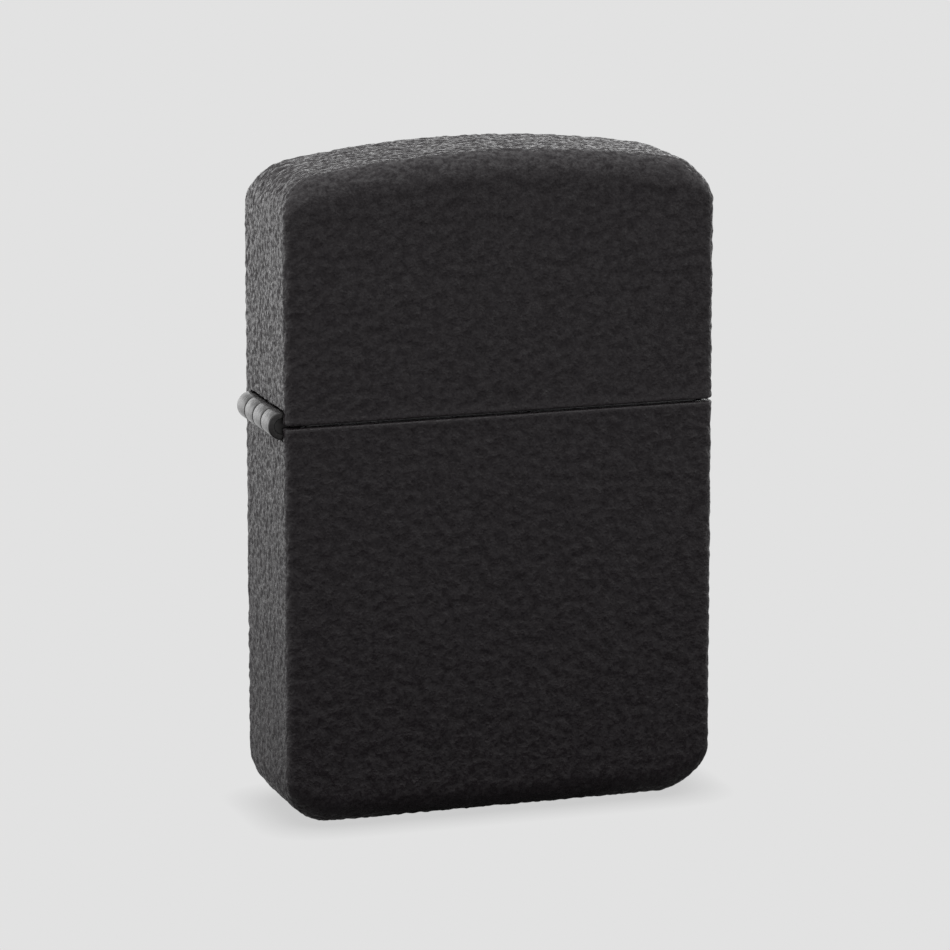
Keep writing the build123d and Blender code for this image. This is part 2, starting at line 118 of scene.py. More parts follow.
def new_piece(name, points_mm, faces, material, smooth_angle=40):
    """A mesh object from points in millimetres, shaded smooth up to an angle."""
    mesh = bpy.data.meshes.new(name)
    mesh.from_pydata([tuple(p) for p in np.asarray(points_mm) * MM], [], faces)
    mesh.update()
    work = bmesh.new()
    work.from_mesh(mesh)
    bmesh.ops.remove_doubles(work, verts=work.verts, dist=1e-7)
    bmesh.ops.recalc_face_normals(work, faces=work.faces)
    work.to_mesh(mesh)
    work.free()
    mesh.shade_smooth()
    mesh.set_sharp_from_angle(angle=math.radians(smooth_angle))
    piece = bpy.data.objects.new(name, mesh)
    scene.collection.objects.link(piece)
    mesh.materials.append(material)
    return piece


def settle(piece, smooth_angle=40):
    """Turns the modifiers' result into the piece's plain mesh."""
    bpy.context.view_layer.update()
    graph = bpy.context.evaluated_depsgraph_get()
    mesh = bpy.data.meshes.new_from_object(piece.evaluated_get(graph))
    mesh.name = piece.name
    piece.modifiers.clear()
    piece.data = mesh
    mesh.shade_smooth()
    mesh.set_sharp_from_angle(angle=math.radians(smooth_angle))
    return piece


def copy_node(name, new_name):
    """A merged copy of a CAD node's mesh in a new object."""
    mesh = nodes[name].data.copy()
    piece = bpy.data.objects.new(new_name, mesh)
    scene.collection.objects.link(piece)
    mesh.materials.clear()
    work = bmesh.new()
    work.from_mesh(mesh)
    bmesh.ops.remove_doubles(work, verts=work.verts, dist=1e-6)
    work.to_mesh(mesh)
    work.free()
    return piece


def tree_with(name, floats, integers=()):
    """A geometry tree with named inputs: its node group and its inputs' sockets."""
    tree = bpy.data.node_groups.new(name, "GeometryNodeTree")
    face = tree.interface
    face.new_socket("Geometry", in_out="INPUT", socket_type="NodeSocketGeometry")
    for kind, inputs in (("NodeSocketFloat", floats), ("NodeSocketInt", integers)):
        for label, value in inputs:
            face.new_socket(label, in_out="INPUT", socket_type=kind).default_value = value
    face.new_socket("Finish", in_out="INPUT", socket_type="NodeSocketMaterial")
    face.new_socket("Geometry", in_out="OUTPUT", socket_type="NodeSocketGeometry")
    return tree, add_node(tree, "NodeGroupInput").outputs


def close_tree(tree, geometry, given):
    """Realizes the instances and sets the finish."""
    real = add_node(tree, "GeometryNodeRealizeInstances", {"Geometry": geometry})
    done = add_node(tree, "GeometryNodeSetMaterial", {"Geometry": real, "Material": given["Finish"]})
    add_node(tree, "NodeGroupOutput", {"Geometry": done})
    return tree


def run_tree(piece, tree, **values):
    """Runs a geometry tree on a piece with named inputs and settles it."""
    modifier = piece.modifiers.new(tree.name, "NODES")
    modifier.node_group = tree
    for item in tree.interface.items_tree:
        if item.in_out == "INPUT" and item.name in values:
            modifier[item.identifier] = values[item.name]
    return settle(piece)


# ---------------------------------------------------------------- materials
def wrinkle_enamel():
    """Wrinkle enamel, sprayed and baked: soft black grains parted by creases, with painted shade darkening
    the creases.
    """
    made, tree = new_material("wrinkle_enamel")
    add = partial(add_node, tree)
    here = millimetres(tree)
    crease = add("ShaderNodeAttribute", attribute_name="crease").outputs["Fac"]
    # Grit of 0.36 mm lies over the grains of the mesh, and a tooth of 0.2 mm over that
    grit = add(NOISE, {"Vector": here, "Scale": 1 / 0.36, "Detail": 4.0})
    tooth = add(NOISE, {"Vector": here, "Scale": 1 / 0.2, "Detail": 2.0})
    grit_height = add(MATH, (grit, 0.075), operation="MULTIPLY")
    tooth_height = add(MATH, (tooth, 0.035), operation="MULTIPLY")
    height = add(MATH, (grit_height, tooth_height), operation="ADD")
    # Painted shade: creases and pits get a darker black and weaker specular than the tops of the grains,
    # standing in for the shade that falls in them
    crease_shade = add(RANGE, (crease, 0, 1, 1.15, 0.72))
    pit_shade = add(RANGE, (tooth, 0.3, 0.7, 0.7, 1.35))
    painted_cavity_light = add(MATH, (crease_shade, pit_shade), operation="MULTIPLY")
    blacks = {"Factor": painted_cavity_light, 6: colour("#201D1F"), 7: colour("#2F2A2D")}
    finish_material(tree, {
        "Base Color": add(MIX, blacks, data_type="RGBA"),
        "Roughness": add(RANGE, (grit, 0.4, 0.58, 0.7, 0.2)),
        "IOR": 1.5,
        "Specular IOR Level": add(MATH, (painted_cavity_light, 0.6), operation="MULTIPLY"),
        "Normal": add(BUMP, {"Height": height, "Distance": MM}),
    })
    return made


def hinge_enamel():
    """The same enamel run thin over the hinge: glossier, with a faint orange peel of 0.5 mm."""
    made, tree = new_material("hinge_enamel")
    add = partial(add_node, tree)
    peel = add(NOISE, {"Vector": millimetres(tree), "Scale": 1 / 0.5, "Detail": 3.0})
    height = add(MATH, (peel, 0.05), operation="MULTIPLY")
    blacks = {"Factor": peel, 6: colour("#1E1B1B"), 7: colour("#2A2727")}
    finish_material(tree, {
        "Base Color": add(MIX, blacks, data_type="RGBA"),
        "Roughness": add(RANGE, (peel, 0.3, 0.7, 0.2, 0.36)),
        "IOR": 1.5,
        "Specular IOR Level": 0.85,
        "Coat Weight": 0.5,
        "Coat Roughness": 0.16,
        "Normal": add(BUMP, {"Height": height, "Distance": MM}),
    })
    return made


def brushed_metal(name, base, worn, rough, along):
    """Metal brushed one way: hairlines 0.05 mm apart, drawn 0.12 mm so that they show."""
    made, tree = new_material(name)
    add = partial(add_node, tree)
    stretch = [0.12, 0.12, 0.12]
    stretch[along] = 12.0
    lines = add(NOISE, {"Vector": millimetres(tree, stretch), "Scale": 1.0, "Detail": 3.0})
    cloud = add(NOISE, {"Vector": millimetres(tree), "Scale": 1 / 5.0, "Detail": 3.0})
    share = add(MATH, (cloud, lines), operation="MULTIPLY")
    greys = {"Factor": add(RANGE, (share, 0.1, 0.5, 0, 1)), 6: colour(base), 7: colour(worn)}
    height = add(MATH, (lines, 0.006), operation="MULTIPLY")
    finish_material(tree, {
        "Base Color": add(MIX, greys, data_type="RGBA"),
        "Metallic": 1.0,
        "Roughness": add(RANGE, (lines, 0.3, 0.7, rough - 0.07, rough + 0.08)),
        "Normal": add(BUMP, {"Height": height, "Distance": MM}),
    })
    return made


def turned_metal(name, base, worn, rough):
    """Metal turned or drawn: faint tool rings 0.25 mm apart and a few dull spots."""
    made, tree = new_material(name)
    add = partial(add_node, tree)
    rings = add(NOISE, {"Vector": millimetres(tree, (4.0, 4.0, 1.0)), "Scale": 1 / 0.25, "Detail": 1.0})
    spots = add(NOISE, {"Vector": millimetres(tree), "Scale": 1 / 1.4, "Detail": 4.0})
    tones = {"Factor": add(RANGE, (spots, 0.4, 0.7, 0, 1)), 6: colour(base), 7: colour(worn)}
    height = add(MATH, (rings, 0.008), operation="MULTIPLY")
    finish_material(tree, {
        "Base Color": add(MIX, tones, data_type="RGBA"),
        "Metallic": 1.0,
        "Roughness": add(RANGE, (spots, 0.3, 0.7, rough - 0.06, rough + 0.1)),
        "Normal": add(BUMP, {"Height": height, "Distance": MM}),
    })
    return made


def fibre_stuff(name, pale, shadow, fibre_mm, depth_mm):
    """Cotton or wool: matt tangled fibres with a little sheen."""
    made, tree = new_material(name)
    add = partial(add_node, tree)
    here = millimetres(tree)
    bend = add(NOISE, {"Vector": here, "Scale": 1 / (6 * fibre_mm)})
    push = add(VECTOR, (here, bend.outputs["Color"]), operation="ADD")
    hair = add(NOISE, {"Vector": push, "Scale": 1 / fibre_mm, "Detail": 4.0, "Distortion": 2.0})
    tones = {"Factor": add(RANGE, (hair, 0.3, 0.7, 0, 1)), 6: colour(shadow), 7: colour(pale)}
    height = add(MATH, (hair, depth_mm), operation="MULTIPLY")
    finish_material(tree, {
        "Base Color": add(MIX, tones, data_type="RGBA"),
        "Roughness": 0.92,
        "Sheen Weight": 0.25,
        "Sheen Roughness": 0.5,
        "Normal": add(BUMP, {"Height": height, "Distance": MM}),
    })
    return made


def flint_alloy():
    """Pressed ferrocerium: dark grey, granular and matt, with a grit of 0.15 mm."""
    made, tree = new_material("pressed_ferrocerium")
    add = partial(add_node, tree)
    grit = add(NOISE, {"Vector": millimetres(tree), "Scale": 1 / 0.15, "Detail": 3.0})
    height = add(MATH, (grit, 0.02), operation="MULTIPLY")
    greys = {"Factor": grit, 6: colour("#3A3735"), 7: colour("#55504D")}
    finish_material(tree, {
        "Base Color": add(MIX, greys, data_type="RGBA"),
        "Metallic": 0.6,
        "Roughness": add(RANGE, (grit, 0.3, 0.7, 0.5, 0.7)),
        "Normal": add(BUMP, {"Height": height, "Distance": MM}),
    })
    return made


enamel = wrinkle_enamel()
thin_enamel = hinge_enamel()
can_steel = brushed_metal("satin_stainless_steel", "#C4C4C6", "#A9A8A8", 0.30, 0)
chimney_steel = brushed_metal("satin_stainless_chimney", "#C2C2C4", "#A3A1A0", 0.27, 0)
wheel_steel = turned_metal("hardened_tool_steel", "#77777B", "#4C4B4C", 0.38)
rivet_steel = turned_metal("nickel_plated_steel", "#BDBBB7", "#94918D", 0.26)
cam_steel = turned_metal("pressed_mild_steel", "#A9A8A7", "#84817E", 0.34)
spring_steel = turned_metal("blued_spring_steel", "#6E6F75", "#4F5057", 0.3)
pin_steel = turned_metal("drawn_steel_pin", "#5B5A5A", "#3B3A3A", 0.42)
brass = turned_metal("drawn_brass", "#CFA557", "#A67F3C", 0.3)
copper = turned_metal("drawn_copper_wire", "#C77B55", "#9A5537", 0.34)
cotton = fibre_stuff("braided_cotton", "#E6DFCC", "#B9AE93", 0.14, 0.05)
wadding = fibre_stuff("cotton_wadding", "#ECEAE3", "#CFCBC0", 0.3, 0.12)
felt = fibre_stuff("pressed_wool_felt", "#A8A59C", "#7B786F", 0.18, 0.06)
ferrocerium = flint_alloy()


# ---------------------------------------------------------------- case and lid
WALL = 0.7
BOTTOM_CORNER = 4.4
BOTTOM_ROLL = 2.8
CROWN_CORNER = 3.1
CROWN_ROLL = 2.4
CROWN_SAG = 2.0
SIDE_ROUND = 0.85
INNER_ROUND = 1.05
RIM_ROUND = 0.2
# The outside has this many cells for each one of the inside
FINE = 3
CASE_CELLS = (141, 96, 129)
LID_CELLS = (141, 96, 84)
# The hinge's barrel turns in a notch: its reach above and below the axis, past the barrel's ends,
# out of the wall and into the case
NOTCH = 1.34
NOTCH_END = 0.15
NOTCH_OUT = 1.0
NOTCH_IN = 2.2


def rounded_form(x, y, t, half_width, half_depth, length, corner, side_round, end_round):
    """Takes points on a box to a box with a rounded front outline and rounded rim edges.

    t runs from the open rim to the closed end. The rim edges' radius grows from side_round on
    the sides to end_round on the end."""
    run = np.stack([np.abs(x) - (half_width - corner), t - (length - corner)])
    run = np.maximum(run, 0)
    reach = run.max(0)
    size = np.maximum(np.hypot(run[0], run[1]), 1e-9)
    heading = run / size
    turn = heading[1]
    edge = side_round + (end_round - side_round) * turn * turn * (3 - 2 * turn)
    inset = np.where(reach > 0, corner - reach, 99.0)
    roll = np.stack([edge - inset, np.abs(y) - (half_depth - edge)])
    roll = np.maximum(roll, 0)
    far = roll.max(0)
    roll = roll / np.maximum(np.hypot(roll[0], roll[1]), 1e-9) * far
    reach = np.where(roll[0] > 0, corner - edge + roll[0], reach)
    new = heading * reach
    out_x = np.where(run[0] > 0, np.sign(x) * (half_width - corner + new[0]), x)
    out_t = np.where(run[1] > 0, length - corner + new[1], t)
    out_y = np.where(roll[1] > 0, np.sign(y) * (half_depth - edge + roll[1]), y)
    return out_x, out_y, out_t


def open_grid(counts, stops):
    """Grid on a box with one open end: points, quads and the ring round the open rim."""
    across, deep, long = counts
    index = np.full((across + 1, deep + 1, long + 1), -1)
    i, j, k = np.indices(index.shape)
    shell = (i == 0) | (i == across) | (j == 0) | (j == deep) | (k == long)
    index[shell] = np.arange(shell.sum())
    points = np.stack([stops[0][i[shell]], stops[1][j[shell]], stops[2][k[shell]]])
    quads = []
    for sheet in (index[:, 0, :], index[:, -1, :], index[0], index[-1], index[:, :, -1]):
        block = [sheet[:-1, :-1], sheet[1:, :-1], sheet[1:, 1:], sheet[:-1, 1:]]
        quads += np.stack([corner.ravel() for corner in block], 1).tolist()
    rim = index[:, :, 0]
    ring = [*rim[:-1, 0], *rim[-1, :-1], *rim[:0:-1, -1], *rim[0, :0:-1]]
    return points, quads, [int(v) for v in ring]


def pressed_shell(name, rim_z, end_z, corner, end_round, sag, counts):
    """A drawn metal shell, open at the seam, domed by sag at the closed end."""
    length = abs(end_z - rim_z)
    way = 1 if end_z > rim_z else -1
    all_points, all_faces, rings, painted = [], [], [], []
    paint_fade, dome_share = 0.5, 0.7
    for inside in (0, 1):
        gap = WALL * inside
        share = FINE if inside else 1
        nx, ny, nt = (count // share for count in counts)
        # Rings close to the rim carry its small radius
        close = [0.0] if inside else [0.0, 0.15 * RIM_ROUND, 0.45 * RIM_ROUND, RIM_ROUND]
        tail = np.linspace(4.5 * RIM_ROUND if inside else 2.1 * RIM_ROUND, length - gap, nt)
        t_stops = np.array([*close, *tail])
        stops = (
            np.linspace(-half_width + gap, half_width - gap, nx + 1),
            np.linspace(-half_depth + gap, half_depth - gap, ny + 1),
            t_stops,
        )
        (x, y, t), faces, ring = open_grid((nx, ny, len(t_stops) - 1), stops)
        side = INNER_ROUND if inside else SIDE_ROUND
        x, y, t = rounded_form(x, y, t, half_width - gap, half_depth - gap, length - gap,
                               corner - gap, side, max(end_round - gap, side))
        if not inside:
            # The rim turns in a little, as paint and deburring leave it
            lean = RIM_ROUND - np.sqrt(RIM_ROUND**2 - np.maximum(RIM_ROUND - t, 0) ** 2)
            x, y = x * (1 - lean / half_width), y * (1 - lean / half_depth)
        if sag:
            dome = (half_width**2 + sag**2) / (2 * sag)
            drop = dome - np.sqrt(dome**2 - x**2)
            rise = np.clip(t / (dome_share * length), 0, 1)
            t = t - drop * rise * rise * (3 - 2 * rise)
        start = len(painted)
        all_points.append(np.stack([x, y, rim_z + way * t], 1))
        all_faces += [[start + v for v in face] for face in faces]
        rings.append([start + v for v in ring])
        painted += list((1 - inside) * np.clip((t - RIM_ROUND) / paint_fade, 0, 1))
    outer, inner = rings
    steps = len(inner)
    for m in range(steps):
        edge = [outer[(FINE * m + n) % len(outer)] for n in range(FINE + 1)]
        all_faces.append(edge + [inner[(m + 1) % steps], inner[m]])
    mesh = bpy.data.meshes.new(name)
    mesh.from_pydata([tuple(p) for p in np.vstack(all_points) * MM], [], all_faces)
    mesh.update()
    mask = mesh.attributes.new("painted", "FLOAT", "POINT")
    mask.data.foreach_set("value", np.array(painted, np.float32))
    work = bmesh.new()
    work.from_mesh(mesh)
    bmesh.ops.recalc_face_normals(work, faces=work.faces)
    work.to_mesh(mesh)
    work.free()
    mesh.materials.append(enamel)
    piece = bpy.data.objects.new(name, mesh)
    scene.collection.objects.link(piece)
    return piece


def wrinkle_tree():
    """Geometry nodes that raise the enamel's folds: rounded grains parted by creases."""
    tree, given = tree_with("wrinkled_enamel", (
        ("Grain mm", 0.68), ("Grain depth mm", 0.085), ("Fold mm", 2.6), ("Fold depth mm", 0.02),
        ("Seed", 3.0)))
    add = partial(add_node, tree)
    where = add(VECTOR, {0: add("GeometryNodeInputPosition"), "Scale": 1 / MM}, operation="SCALE")
    # Each seed takes its grains from another place in the noise
    apart = add("ShaderNodeCombineXYZ", {2: add(MATH, (given["Seed"], 91.0), operation="MULTIPLY")})
    mm = add(VECTOR, (where, apart), operation="ADD")
    wobble = add(NOISE, {"Vector": mm, "Scale": 0.8, "Detail": 1.0})
    push = add(VECTOR, {0: wobble.outputs["Color"], "Scale": 0.9}, operation="SCALE")
    bent = add(VECTOR, (mm, push), operation="ADD")
    per_grain = add(MATH, (1.0, given["Grain mm"]), operation="DIVIDE")
    per_fold = add(MATH, (1.0, given["Fold mm"]), operation="DIVIDE")
    cell = add("ShaderNodeTexVoronoi", {
        "Vector": bent, "Scale": per_grain, "Smoothness": 0.2}, feature="SMOOTH_F1")
    fold = add(NOISE, {"Vector": bent, "Scale": per_fold, "Detail": 2.0})
    # A grain falls away from its middle to the crease round it
    from_top = add(MATH, (cell, 0.2), operation="SUBTRACT")
    dip = add(MATH, (from_top, 0.0), operation="MAXIMUM")
    dip = add(MATH, (dip, given["Grain depth mm"]), operation="MULTIPLY")
    dip = add(MATH, (dip, -2.0), operation="MULTIPLY")
    rise = add(MATH, (fold, 0.8), operation="SUBTRACT")
    rise = add(MATH, (rise, given["Fold depth mm"]), operation="MULTIPLY")
    height = add(MATH, (dip, rise), operation="ADD")
    painted = add("GeometryNodeInputNamedAttribute", {"Name": "painted"}, data_type="FLOAT")
    height = add(MATH, (height, painted), operation="MULTIPLY")
    height = add(MATH, (height, MM), operation="MULTIPLY")
    offset = add(VECTOR, {0: add("GeometryNodeInputNormal"), "Scale": height}, operation="SCALE")
    moved = add("GeometryNodeSetPosition", {"Geometry": given["Geometry"], "Offset": offset})
    # The finish reads how near a point is to a crease, to paint shade into the creases
    depth = add(RANGE, {"Value": cell, "From Min": 0.25, "From Max": 0.68})
    depth = add(MATH, (depth, painted), operation="MULTIPLY")
    named = add("GeometryNodeStoreNamedAttribute", {
        "Geometry": moved, "Name": "crease", "Value": depth}, data_type="FLOAT", domain="POINT")
    return close_tree(tree, named, given)


def cut_notch(piece, low, high):
    """Cuts a box out of a piece."""
    corners = [(x, y, z) for x in (low[0], high[0]) for y in (low[1], high[1]) for z in (low[2], high[2])]
    faces = [(0, 1, 3, 2), (4, 6, 7, 5), (0, 4, 5, 1), (2, 3, 7, 6), (0, 2, 6, 4), (1, 5, 7, 3)]
    cutter = new_piece("notch_cutter", corners, faces, enamel)
    step = piece.modifiers.new("notch", "BOOLEAN")
    step.operation = "DIFFERENCE"
    step.solver = "EXACT"
    step.object = cutter
    settle(piece, 32)
    bpy.data.objects.remove(cutter)
    return piece


case_low, case_high = box_mm("case_body")
lid_low, lid_high = box_mm("lid_shell")
half_width, half_depth = case_high[0], case_high[1]
hinge = np.array(joints["lid_hinge"]["pos_m"]) / MM
hinge_low_y = box_mm("lid_hinge_leaf")[0][1]
hinge_high_y = box_mm("case_hinge_leaf")[1][1]

tree = wrinkle_tree()
case_shell = pressed_shell(
    "case_shell", case_high[2], case_low[2], BOTTOM_CORNER, BOTTOM_ROLL, 0, CASE_CELLS)
lid_cover = pressed_shell(
    "lid_cover", lid_low[2], lid_high[2], CROWN_CORNER, CROWN_ROLL, CROWN_SAG, LID_CELLS)
for piece, seed in ((case_shell, 3.0), (lid_cover, 8.0)):
    run_tree(piece, tree, Finish=enamel, Seed=seed)
    cut_notch(piece, (hinge[0] - NOTCH_OUT, hinge_low_y - NOTCH_END, hinge[2] - NOTCH),
              (hinge[0] + NOTCH_IN, hinge_high_y + NOTCH_END, hinge[2] + NOTCH))
for piece, body, cad_name in ((case_shell, "base", "case_body"), (lid_cover, "lid", "lid_shell")):
    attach(piece, body)
    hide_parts(cad_name)


# ---------------------------------------------------------------- hinge
BARREL = 1.2
KNUCKLES = 4
KNUCKLE_GAP = 0.1
KNUCKLE_BEVEL = 0.14
LEAF_FACE = 0.7
LEAF_BACK = 1.2
LID_LEAF = 8.0
CASE_LEAF = 9.0
# How far a knuckle's root climbs its leaf, and how much of that the leaf covers
ROOT = 1.6
LAP = 0.2
LIP_HALF = 1.5
LIP_REACH = 1.7
LIP_TOP = 6.0
# The lid's knuckles turn freely on the pin, and the case's fit it closely
LID_BORE = 0.7
CASE_BORE = 0.66


def turned_form(outline, turns=64):
    """A closed outline of (radius, along) turned about the Y axis: points and faces."""
    count = len(outline)
    points, faces = [], []
    for turn in range(turns):
        angle = 2 * math.pi * turn / turns
        points += [(radius * math.cos(angle), along, radius * math.sin(angle)) for radius, along in outline]
        here, there = turn * count, (turn + 1) % turns * count
        for at in range(count):
            nxt = (at + 1) % count
            faces.append((here + at, there + at, there + nxt, here + nxt))
    return points, faces


def knuckle_outline(inner, outer, start, end, bevel):
    """Outline of a thick ring with rounded outer edges."""
    angles = [math.pi / 2 * step / 5 for step in range(6)]
    near = [(outer - bevel + bevel * math.sin(a), start + bevel - bevel * math.cos(a)) for a in angles]
    far = [(outer - bevel + bevel * math.cos(a), end - bevel + bevel * math.sin(a)) for a in angles]
    return [(inner, start), *near, *far, (inner, end)]


def soft_box(low, high, bevel):
    """A box with its edges cut back: points and faces."""
    work = bmesh.new()
    bmesh.ops.create_cube(work, size=1)
    low, high = np.array(low), np.array(high)
    for vert in work.verts:
        vert.co = Vector((low + high) / 2 + np.array(vert.co) * (high - low))
    bmesh.ops.bevel(work, geom=work.edges, offset=bevel, segments=3, affect="EDGES", profile=0.5)
    points = [tuple(v.co) for v in work.verts]
    faces = [[v.index for v in f.verts] for f in work.faces]
    work.free()
    return points, faces


def joined(parts):
    """Joins (points, faces) pairs."""
    points, faces = [], []
    for part_points, part_faces in parts:
        start = len(points)
        points += list(part_points)
        faces += [[start + v for v in face] for face in part_faces]
    return points, faces


def hinge_half(name, cad_name, first, up, leaf_height, bore):
    """One half of the barrel hinge: two painted knuckles and the leaf they curl from."""
    x, z = hinge[0], hinge[2]
    face, back = x + LEAF_FACE, x + LEAF_BACK
    pitch = (hinge_high_y - hinge_low_y + KNUCKLE_GAP) / KNUCKLES
    parts = []
    for index in range(first, KNUCKLES, 2):
        start = hinge_low_y + index * pitch
        end = start + pitch - KNUCKLE_GAP
        points, faces = turned_form(knuckle_outline(bore, BARREL, start, end, KNUCKLE_BEVEL))
        parts.append(([(x + px, py, z + pz) for px, py, pz in points], faces))
        root = sorted((z, z + up * ROOT))
        parts.append(soft_box((face, start + 0.02, root[0]), (back, end - 0.02, root[1]), 0.05))
    plate = sorted((z + up * (ROOT - LAP), z + up * leaf_height))
    parts.append(soft_box((face + 0.02, hinge_low_y, plate[0]), (back, hinge_high_y, plate[1]), 0.06))
    if up > 0:
        # The lip that pushes the cam stands in from the lid's leaf
        lip_low = box_mm(cad_name)[0][2]
        edge = x + LIP_REACH
        parts.append(soft_box((back - 0.05, -LIP_HALF, z + ROOT - 0.24), (edge, LIP_HALF, z + LIP_TOP), 0.08))
        parts.append(soft_box((back + 0.1, -LIP_HALF, lip_low), (edge, LIP_HALF, z + ROOT), 0.08))
    points, faces = joined(parts)
    piece = new_piece(name, points, faces, thin_enamel, 50)
    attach(piece, "lid" if up > 0 else "base")
    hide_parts(cad_name)


hinge_half("lid_hinge_knuckles", "lid_hinge_leaf", 0, 1, LID_LEAF, LID_BORE)
hinge_half("case_hinge_knuckles", "case_hinge_leaf", 1, -1, CASE_LEAF, CASE_BORE)


# ---------------------------------------------------------------- striker wheel
def tooth_tree():
    """Geometry nodes that set file teeth round the wheel in two bands slanted against each other."""
    tree, given = tree_with("file_teeth", (
        ("Root mm", 3.48), ("Tooth mm", 0.4), ("Band mm", 2.2), ("Band offset mm", 1.3), ("Slant", 0.32),
        ("Centre X mm", 0), ("Centre Z mm", 0)), (("Teeth", 40),))
    add = partial(add_node, tree)
    metre = {label: add(MATH, (given[label], MM), operation="MULTIPLY") for label in (
        "Root mm", "Tooth mm", "Band mm", "Band offset mm", "Centre X mm", "Centre Z mm")}
    ring = add("GeometryNodeMeshCircle", {"Vertices": given["Teeth"], "Radius": metre["Root mm"]})
    tooth = add("GeometryNodeMeshCylinder", {
        "Vertices": 3, "Radius": metre["Tooth mm"], "Depth": metre["Band mm"]})
    where = add("GeometryNodeInputPosition")
    facing = add("FunctionNodeAlignRotationToVector", {"Vector": where}, axis="X", pivot_axis="Z")
    bands = []
    for side in (-1, 1):
        lean = add("ShaderNodeCombineXYZ", {0: add(MATH, (given["Slant"], side), operation="MULTIPLY")})
        leaned = add("GeometryNodeTransform", {"Geometry": tooth, "Rotation": lean})
        placed = add("GeometryNodeInstanceOnPoints", {
            "Points": ring, "Instance": leaned, "Rotation": facing})
        shift = add(MATH, (metre["Band offset mm"], side), operation="MULTIPLY")
        along = add("ShaderNodeCombineXYZ", {2: shift})
        bands.append(add("GeometryNodeTransform", {"Geometry": placed, "Translation": along}))
    both_bands = add("GeometryNodeJoinGeometry", {"Geometry": bands})
    centre = add("ShaderNodeCombineXYZ", {0: metre["Centre X mm"], 2: metre["Centre Z mm"]})
    teeth = add("GeometryNodeTransform", {
        "Geometry": both_bands, "Rotation": (math.pi / 2, 0, 0), "Translation": centre})
    whole = add("GeometryNodeJoinGeometry", {"Geometry": [given["Geometry"], teeth]})
    return close_tree(tree, whole, given)


def make_wheel():
    """The striker wheel: turned hub and rim, a groove round its middle and file-cut teeth."""
    centre = np.array(joints["wheel_spin"]["pos_m"]) / MM
    low, high = box_mm("striker_wheel")
    bore, hub, step, rim, groove = 0.86, 2.2, 3.0, 3.5, 3.25
    half_hub, half_step, half_rim, half_groove = (high[1] - low[1]) / 2, 2.6, 2.35, 0.2
    bevel = 0.15
    side = [(bore, half_hub), (hub - bevel, half_hub), (hub, half_hub - bevel), (hub, half_step),
            (step, half_step), (rim - 0.05, half_rim + 0.07), (rim, half_rim), (rim, half_groove),
            (groove, half_groove - 0.08)]
    outline = [(radius, -along) for radius, along in side] + side[::-1]
    points, faces = turned_form(outline, 120)
    points = [tuple(centre + point) for point in points]
    wheel = new_piece("cut_striker_wheel", points, faces, wheel_steel, 30)
    run_tree(wheel, tooth_tree(), Finish=wheel_steel, **{
        "Centre X mm": float(centre[0]), "Centre Z mm": float(centre[2])})
    wheel.data.set_sharp_from_angle(angle=math.radians(25))
    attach(wheel, "wheel")
    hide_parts("striker_wheel")


# ---------------------------------------------------------------- wick, packing and felt
def fray_tree():
    """Geometry nodes that stand loose cotton ends on the cut top of the wick."""
    tree, given = tree_with("frayed_top", (
        ("Centre X mm", 0), ("Top mm", 48.0), ("Radius mm", 1.3), ("End mm", 0.55), ("Ends per mm2", 30)),
        (("Seed", 4),))
    add = partial(add_node, tree)
    metre = {label: add(MATH, (given[label], MM), operation="MULTIPLY") for label in (
        "Centre X mm", "Top mm", "Radius mm", "End mm")}
    disc = add("GeometryNodeMeshCircle", {"Vertices": 24, "Radius": metre["Radius mm"]}, fill_type="NGON")
    density = add(MATH, (given["Ends per mm2"], MM * MM), operation="DIVIDE")
    spots = add("GeometryNodeDistributePointsOnFaces", {
        "Mesh": disc, "Density": density, "Seed": given["Seed"]})
    end = add("GeometryNodeMeshCone", {
        "Vertices": 6, "Radius Top": 0.02 * MM, "Radius Bottom": 0.07 * MM, "Depth": metre["End mm"]})
    tilt = add("FunctionNodeRandomValue", {
        0: (-0.6, -0.6, 0.0), 1: (0.6, 0.6, 6.28), "Seed": given["Seed"]}, data_type="FLOAT_VECTOR")
    size = add("FunctionNodeRandomValue", {2: 0.6, 3: 1.3, "Seed": given["Seed"]}, data_type="FLOAT")
    ends = add("GeometryNodeInstanceOnPoints", {
        "Points": spots, "Instance": end, "Rotation": tilt, "Scale": size})
    top = add("ShaderNodeCombineXYZ", {0: metre["Centre X mm"], 2: metre["Top mm"]})
    raised = add("GeometryNodeTransform", {"Geometry": ends, "Translation": top})
    both = add("GeometryNodeJoinGeometry", {"Geometry": [given["Geometry"], raised]})
    return close_tree(tree, both, given)


def make_wick():
    """A round braid of cotton with a frayed top."""
    low, high = box_mm("wick")
    centre_x, radius = (low[0] + high[0]) / 2, (high[0] - low[0]) / 2
    fray, row_height, turns = 0.35, 0.22, 96
    strands, rise, depth = 6, 0.75, 0.16
    close_depth, close_height = 0.12, 0.8
    top = high[2] - fray
    levels = np.arange(low[2], top, row_height)
    points, faces = [], []
    for row, z in enumerate(levels):
        close = close_depth * max(0, 1 - (top - z) / close_height)
        for turn in range(turns):
            angle = 2 * math.pi * turn / turns
            left = abs(math.cos(strands / 2 * angle + rise * z))
            right = abs(math.cos(strands / 2 * angle - rise * z))
            reach = radius - depth * (1 - max(left, right)) - close
            points.append((centre_x + reach * math.cos(angle), reach * math.sin(angle), z))
            if row:
                here, nxt = row * turns + turn, row * turns + (turn + 1) % turns
                faces.append((here - turns, nxt - turns, nxt, here))
    faces.append(list(range(turns))[::-1])
    faces.append([(len(levels) - 1) * turns + turn for turn in range(turns)])
    wick = new_piece("braided_wick", points, faces, cotton, 60)
    run_tree(wick, fray_tree(), Finish=cotton, **{"Centre X mm": float(centre_x), "Top mm": float(top)})
    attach(wick, "base")
    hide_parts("wick")


